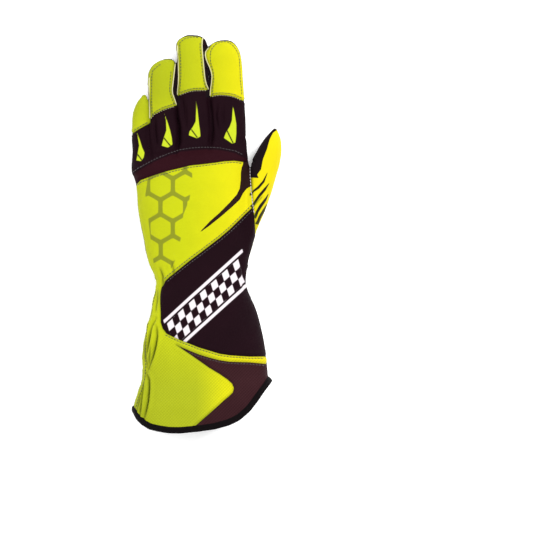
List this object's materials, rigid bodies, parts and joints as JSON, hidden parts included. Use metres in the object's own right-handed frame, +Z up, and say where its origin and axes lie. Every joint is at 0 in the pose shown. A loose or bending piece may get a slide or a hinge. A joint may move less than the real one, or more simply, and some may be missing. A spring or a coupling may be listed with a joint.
{
  "type": "karting glove",
  "caption": "Left-hand karting glove with a long gauntlet cuff, yellow and black fabric panels, a gathered wrist and rubber grip pads on the palm.",
  "frame": {"origin": "centre of the glove's outline seen from above, at the height of the surface that the glove rests on", "axes": "+X points to the thumb's side, +Y to the fingertips and +Z up, out of the back of the hand"},
  "size_m": [0.1214, 0.3238, 0.0477],
  "materials": {
    "yellow_fabric": "woven stretch fabric, matt, bright yellow with a green cast on the little finger's side",
    "black_fabric": "smooth stretch fabric, matt black",
    "black_suede": "synthetic suede, matt black",
    "binding_tape": "folded elastic tape, satin black",
    "grey_rubber": "moulded silicone rubber, satin grey",
    "red_rubber": "moulded silicone rubber, satin red"
  },
  "bodies": {
    "root": {"back_panel": "yellow_fabric", "back_stripe": "black_fabric", "cuff_back_panel": "black_fabric", "cuff_lower_panel": "yellow_fabric", "cuff_palm_panel": "black_fabric", "cuff_side_gusset": "yellow_fabric", "cuff_wedge_panel": "black_fabric", "fourchette_index_middle": "black_suede", "fourchette_middle_ring": "black_suede", "fourchette_ring_little": "black_suede", "grip_centre": "red_rubber", "grip_heel_centre": "grey_rubber", "grip_heel_lower": "grey_rubber", "grip_heel_upper": "grey_rubber", "grip_index_1": "grey_rubber", "grip_index_2": "grey_rubber", "grip_index_3": "red_rubber", "grip_index_4": "grey_rubber", "grip_knuckle_index": "grey_rubber", "grip_knuckle_little": "grey_rubber", "grip_knuckle_middle": "grey_rubber", "grip_knuckle_ring": "grey_rubber", "grip_little_1": "grey_rubber", "grip_little_2": "grey_rubber", "grip_little_3": "red_rubber", "grip_little_4": "grey_rubber", "grip_middle_1": "grey_rubber", "grip_middle_2": "grey_rubber", "grip_middle_3": "red_rubber", "grip_middle_4": "grey_rubber", "grip_ring_1": "grey_rubber", "grip_ring_2": "grey_rubber", "grip_ring_3": "red_rubber", "grip_ring_4": "grey_rubber", "grip_thumb_lower": "grey_rubber", "grip_thumb_side_centre": "grey_rubber", "grip_thumb_side_far": "grey_rubber", "grip_thumb_side_near": "grey_rubber", "grip_thumb_upper": "grey_rubber", "grip_upper_far": "red_rubber", "grip_upper_near": "red_rubber", "hem_binding": "binding_tape", "index_back": "yellow_fabric", "index_front": "black_suede", "knuckle_band": "black_fabric", "little_back": "yellow_fabric", "little_front": "black_suede", "middle_back": "yellow_fabric", "middle_front": "black_suede", "palm_panel": "black_suede", "ring_back": "yellow_fabric", "ring_front": "black_suede", "thumb_back": "yellow_fabric", "thumb_palm": "black_suede", "wrist_gather": "black_fabric"}
  },
  "joints": []
}
